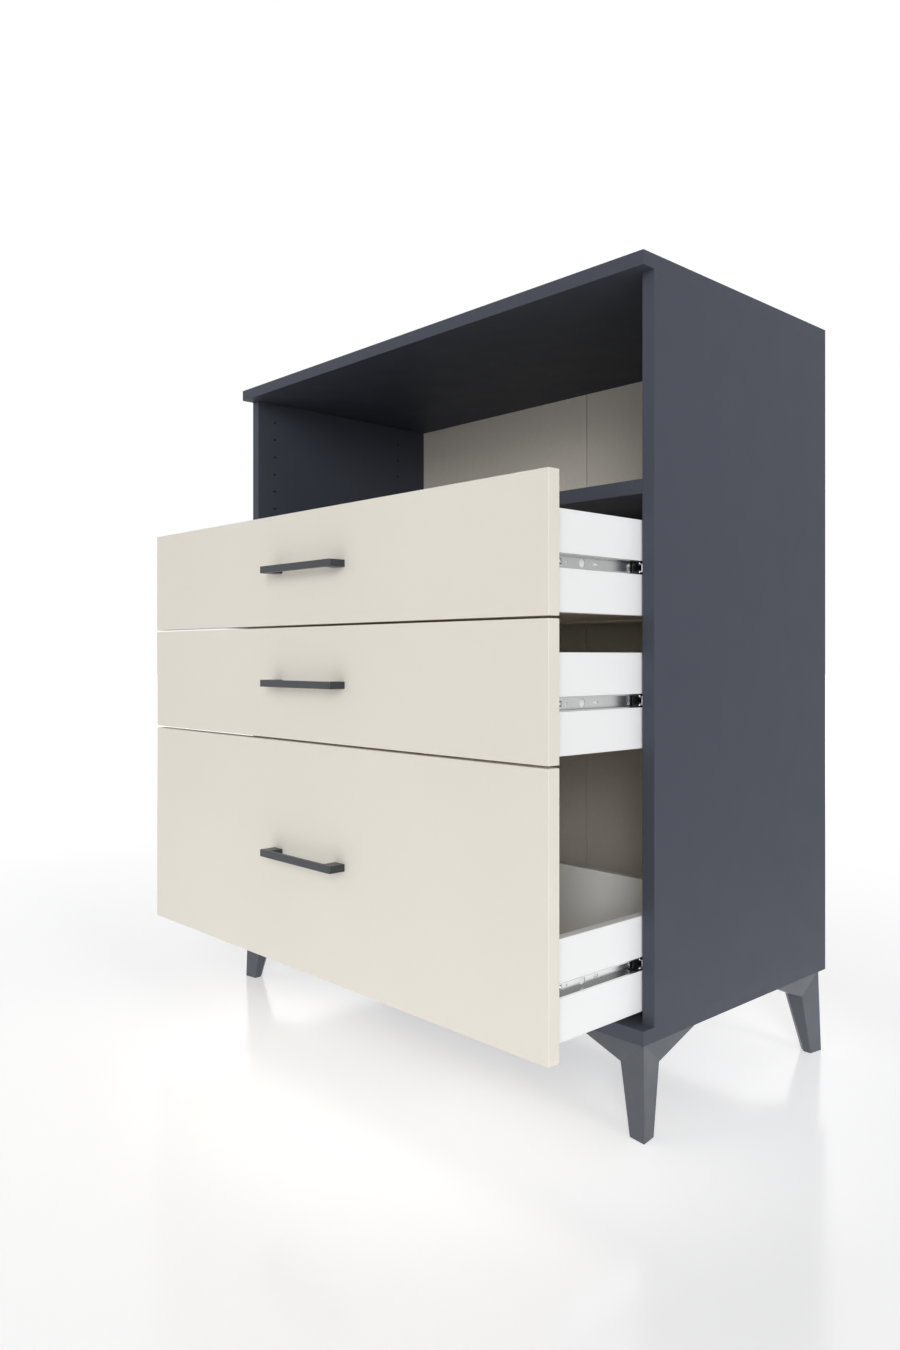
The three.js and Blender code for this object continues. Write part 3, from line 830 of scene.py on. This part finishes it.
def screw_tree():
    tree, given, out = new_tree("screws_on_webs", {
        "Head radius": ("Float", HEAD_RADIUS),
        "Head height": ("Float", HEAD_HEIGHT),
        "Cross length": ("Float", CROSS_LENGTH),
        "Cross width": ("Float", CROSS_WIDTH),
        "Seed": ("Int", TURN_SEED),
    })
    rim = add(tree, "ShaderNodeMath", operation="MULTIPLY")
    rim.inputs[1].default_value = HEAD_TAPER_SHARE
    head = add(tree, "GeometryNodeMeshCone")
    head.inputs["Vertices"].default_value = HEAD_SIDES
    cross = add(tree, "GeometryNodeJoinGeometry")
    for along, across in (("X", "Y"), ("Y", "X")):
        bar_size = add(tree, "ShaderNodeCombineXYZ")
        bar = add(tree, "GeometryNodeMeshCube")
        join(
            tree,
            (given.outputs["Cross length"], bar_size.inputs[along]),
            (given.outputs["Cross width"], bar_size.inputs[across]),
            (given.outputs["Head height"], bar_size.inputs["Z"]),
            (bar_size.outputs["Vector"], bar.inputs["Size"]),
            (bar.outputs["Mesh"], cross.inputs["Geometry"]),
        )
    lift = add(tree, "ShaderNodeCombineXYZ")
    cutter = add(tree, "GeometryNodeTransform")
    slotted = add(tree, "GeometryNodeMeshBoolean", operation="DIFFERENCE", solver="EXACT")
    slotted.inputs["Self Intersection"].default_value = True
    facing = add(tree, "GeometryNodeInputNamedAttribute", data_type="FLOAT_VECTOR")
    facing.inputs["Name"].default_value = "facing"
    outward = add(tree, "FunctionNodeAlignRotationToVector", axis="Z")
    chance = add(tree, "FunctionNodeRandomValue", data_type="FLOAT")
    chance.inputs[3].default_value = math.tau
    spin = add(tree, "FunctionNodeAxisAngleToRotation")
    turned = add(tree, "FunctionNodeRotateRotation", rotation_space="LOCAL")
    screws = add(tree, "GeometryNodeInstanceOnPoints")
    real = add(tree, "GeometryNodeRealizeInstances")
    zinc = add(tree, "GeometryNodeSetMaterial")
    zinc.inputs["Material"].default_value = screw_finish
    join(
        tree,
        (given.outputs["Head radius"], rim.inputs[0]),
        (given.outputs["Head radius"], head.inputs["Radius Bottom"]),
        (rim.outputs["Value"], head.inputs["Radius Top"]),
        (given.outputs["Head height"], head.inputs["Depth"]),
        (given.outputs["Head height"], lift.inputs["Z"]),
        (lift.outputs["Vector"], cutter.inputs["Translation"]),
        (cross.outputs["Geometry"], cutter.inputs["Geometry"]),
        (head.outputs["Mesh"], slotted.inputs["Mesh 1"]),
        (cutter.outputs["Geometry"], slotted.inputs["Mesh 2"]),
        (facing.outputs["Attribute"], outward.inputs["Vector"]),
        (given.outputs["Seed"], chance.inputs["Seed"]),
        (chance.outputs[1], spin.inputs["Angle"]),
        (outward.outputs["Rotation"], turned.inputs["Rotation"]),
        (spin.outputs["Rotation"], turned.inputs["Rotate By"]),
        (given.outputs["Places"], screws.inputs["Points"]),
        (slotted.outputs["Mesh"], screws.inputs["Instance"]),
        (turned.outputs["Rotation"], screws.inputs["Rotation"]),
        (screws.outputs["Instances"], real.inputs["Geometry"]),
        (real.outputs["Geometry"], zinc.inputs["Geometry"]),
        (zinc.outputs["Geometry"], out.inputs["Made"]),
    )
    return tree


screws_on_webs = screw_tree()
print(screws_on_webs.name, "has", len(screws_on_webs.nodes), "nodes")

# %% [markdown]
# ## Screws in the runner members
# Every runner member is screwed on through three holes in its web: the cabinet member to the side panel, and
# the drawer member to the board of the box. Both channels are open towards each other, so the heads in them
# face each other too. The screws of one body become one piece, which moves with that body.

# %% Grow the screws
SCREW_SETBACKS = (33 * MM, 228 * MM, 325 * MM)
SHEET = 1 * MM


def screw_places(node, sign, web_faces_out):
    """Points on a member's web, seen from inside the channel, with the way that the heads face."""
    low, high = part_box(node)
    if web_faces_out:
        web = high.x - SHEET if sign > 0 else low.x + SHEET
        facing = (-sign, 0, 0)
    else:
        web = low.x + SHEET if sign > 0 else high.x - SHEET
        facing = (sign, 0, 0)
    middle = (low.z + high.z) / 2
    return [((web, low.y + setback, middle), facing) for setback in SCREW_SETBACKS]


screw_sizes = {
    "Head radius": HEAD_RADIUS,
    "Head height": HEAD_HEIGHT,
    "Cross length": CROSS_LENGTH,
    "Cross width": CROSS_WIDTH,
    "Seed": TURN_SEED,
}
held = {"carcass": []}
for number in DRAWERS:
    drawer = f"drawer_{number}"
    held[drawer] = []
    for side, sign in SIDES.items():
        held[drawer] += screw_places(f"{drawer}_runner_{side}", sign, web_faces_out=False)
        held["carcass"] += screw_places(f"{drawer}_cabinet_runner_{side}", sign, web_faces_out=True)
for body, screws in held.items():
    name = body + "_runner_screws"
    points = places_mesh(name, [place for place, facing in screws], [facing for place, facing in screws])
    made = grow(name, points, screws_on_webs, screw_sizes, body)
    print(made.name, "has", len(made.data.polygons), "faces")

# %% [markdown]
# ## The white world
# The photograph has a white room with no corner in sight, and a white world gives that. It lights the
# chest at a low, even level, and shows itself as pure white only to the camera and in reflections, because
# a world that lit the chest as strongly as it looks would wash out every shade. Light that reaches the
# back through the gap between two drawers has bounced from board to board many times, so more bounces are
# allowed than Blender's own four.

# %% Make the world
WORLD_LEVEL = 0.35
BACKDROP_LEVEL = 1.0
LIGHT_BOUNCES = 16


def seen_directly(tree, path):
    """One for rays from the camera and for those that a mirror or glass passes on, otherwise zero."""
    mirrored = add(tree, "ShaderNodeMath", operation="MAXIMUM")
    passed = add(tree, "ShaderNodeMath", operation="MAXIMUM")
    join(
        tree,
        (path.outputs["Is Camera Ray"], mirrored.inputs[0]),
        (path.outputs["Is Glossy Ray"], mirrored.inputs[1]),
        (mirrored.outputs["Value"], passed.inputs[0]),
        (path.outputs["Is Transmission Ray"], passed.inputs[1]),
    )
    return passed.outputs["Value"]


def white_light(tree, level):
    """A plain white background of one strength."""
    light = add(tree, "ShaderNodeBackground")
    light.inputs["Color"].default_value = (*WHITE, 1)
    light.inputs["Strength"].default_value = level
    return light.outputs["Background"]


bpy.context.scene.cycles.max_bounces = LIGHT_BOUNCES
bpy.context.scene.cycles.diffuse_bounces = LIGHT_BOUNCES
world = bpy.data.worlds.new("white_room")
bpy.context.scene.world = world
world.use_nodes = True
room = world.node_tree
room.nodes.clear()
either = add(room, "ShaderNodeMixShader")
room_out = add(room, "ShaderNodeOutputWorld")
join(
    room,
    (seen_directly(room, add(room, "ShaderNodeLightPath")), either.inputs["Fac"]),
    (white_light(room, WORLD_LEVEL), either.inputs[1]),
    (white_light(room, BACKDROP_LEVEL), either.inputs[2]),
    (either.outputs["Shader"], room_out.inputs["Surface"]),
)
print("world level:", WORLD_LEVEL)

# %% [markdown]
# ## The bright floor
# The floor does more for the light than the world: in a white studio it throws so much light up that the
# boards grow lighter towards their feet. So it glows, most of all under the chest, and fades outward. How
# bright it looks is set apart from how much it lights. For the camera some white is added, more and more
# with the distance, so that it runs into the background, and a little more lifts the darkest part of the
# shadow under the drawers. A faint mirror image of the feet stays. In reflections it is brightest beside
# the chest's right side, because that is the place that the lowest runner mirrors, and in the photograph
# that runner is nearly white.

# %% Make the floor
ROOM_SIZE = 60
FLOOR_WHITE = (0.86, 0.86, 0.87)
CHEST_CENTRE = (0, 0, 0)
GLOW_LEVELS, GLOW_REACH = (0.36, 0.0), (0.5, 3.0)
SEEN_LEVELS, SEEN_REACH = (0.35, 0.9), (1.5, 6.0)
SHADOW_CENTRE = (0.15, 0, 0)
SHADOW_LIFT, SHADOW_REACH = (0.115, 0.0), (0.35, 0.65)
MIRRORED_CENTRE = (0.9, 0.4, 0)
MIRRORED_LEVELS, MIRRORED_REACH = (1.4, 0.6), (0.25, 0.75)


def level_around(tree, centre, reach, levels):
    """A level that changes gently from one value to another while the distance crosses its reach."""
    place = add(tree, "ShaderNodeTexCoord")
    away = add(tree, "ShaderNodeVectorMath", operation="DISTANCE")
    away.inputs[1].default_value = centre
    change = add(tree, "ShaderNodeMapRange", interpolation_type="SMOOTHSTEP")
    change.inputs["From Min"].default_value, change.inputs["From Max"].default_value = reach
    change.inputs["To Min"].default_value, change.inputs["To Max"].default_value = levels
    join(
        tree,
        (place.outputs["Object"], away.inputs[0]),
        (away.outputs["Value"], change.inputs["Value"]),
    )
    return change.outputs["Result"]


def pale_floor():
    material, tree, surface = new_finish("pale_floor", roughness=0.15, specular=0.8)
    tint(tree, surface, noise(tree, scale=0.7), FLOOR_WHITE, dark=0.99, light=1.01)
    surface.inputs["Emission Color"].default_value = (*WHITE, 1)
    path = add(tree, "ShaderNodeLightPath")
    seen = add(tree, "ShaderNodeMath", operation="ADD")
    by_camera = add(tree, "ShaderNodeMix", data_type="FLOAT")
    either_level = add(tree, "ShaderNodeMix", data_type="FLOAT")
    join(
        tree,
        (level_around(tree, CHEST_CENTRE, SEEN_REACH, SEEN_LEVELS), seen.inputs[0]),
        (level_around(tree, SHADOW_CENTRE, SHADOW_REACH, SHADOW_LIFT), seen.inputs[1]),
        (path.outputs["Is Camera Ray"], by_camera.inputs["Factor"]),
        (level_around(tree, MIRRORED_CENTRE, MIRRORED_REACH, MIRRORED_LEVELS), by_camera.inputs["A"]),
        (seen.outputs["Value"], by_camera.inputs["B"]),
        (seen_directly(tree, path), either_level.inputs["Factor"]),
        (level_around(tree, CHEST_CENTRE, GLOW_REACH, GLOW_LEVELS), either_level.inputs["A"]),
        (by_camera.outputs["Result"], either_level.inputs["B"]),
        (either_level.outputs["Result"], surface.inputs["Emission Strength"]),
    )
    return material


floor_mesh = bpy.data.meshes.new("floor")
half_room = ROOM_SIZE / 2
floor_corners = [(x * half_room, y * half_room, 0) for x, y in ((-1, -1), (1, -1), (1, 1), (-1, 1))]
floor_mesh.from_pydata(floor_corners, [], [(0, 1, 2, 3)])
floor_mesh.materials.append(pale_floor())
floor = bpy.data.objects.new("floor", floor_mesh)
bpy.context.scene.collection.objects.link(floor)
print("floor:", ROOM_SIZE, "m wide")

# %% [markdown]
# ## Soft lamps
# Five large lamps stand far away, so that their light hardly changes from one end of the chest to the
# other. Each is given by the way that its light comes from: how far it is turned from straight ahead
# towards the right, and how high it stands above the horizon. Three stand in a column near the camera. The
# low one looks into the open drawers, where an overhead lamp would leave everything black, and the two
# above it carry the fronts. One on the right gives the right side and the front edges their slight lead
# and reaches down into the lowest drawer. A weak one on the left evens out the fronts.

# %% Hang the lamps
LAMP_TARGET = Vector((0, 0, 0.5))
LAMP_DISTANCE = 13.4
LAMP_SIZE = 4.0
LAMPS = {
    "low_lamp": {"turn": 42, "height": 4, "power": 230},
    "middle_lamp": {"turn": 42, "height": 15, "power": 395},
    "upper_lamp": {"turn": 42, "height": 27, "power": 175},
    "right_lamp": {"turn": 85, "height": 25, "power": 240},
    "left_lamp": {"turn": -35, "height": 16, "power": 110},
}


def hang_lamp(name, turn, height, power):
    lamp_data = bpy.data.lights.new(name, "AREA")
    lamp_data.shape = "DISK"
    lamp_data.size = LAMP_SIZE
    lamp_data.energy = power
    lamp = bpy.data.objects.new(name, lamp_data)
    aside, above = math.radians(turn), math.radians(height)
    way = Vector((math.sin(aside) * math.cos(above), -math.cos(aside) * math.cos(above), math.sin(above)))
    lamp.location = LAMP_TARGET + LAMP_DISTANCE * way
    lamp.rotation_euler = way.to_track_quat("Z", "Y").to_euler()
    bpy.context.scene.collection.objects.link(lamp)
    return lamp


for name, settings in LAMPS.items():
    lamp = hang_lamp(name, **settings)
    print(name, "stands at", [round(value, 1) for value in lamp.location], "with", settings["power"], "W")
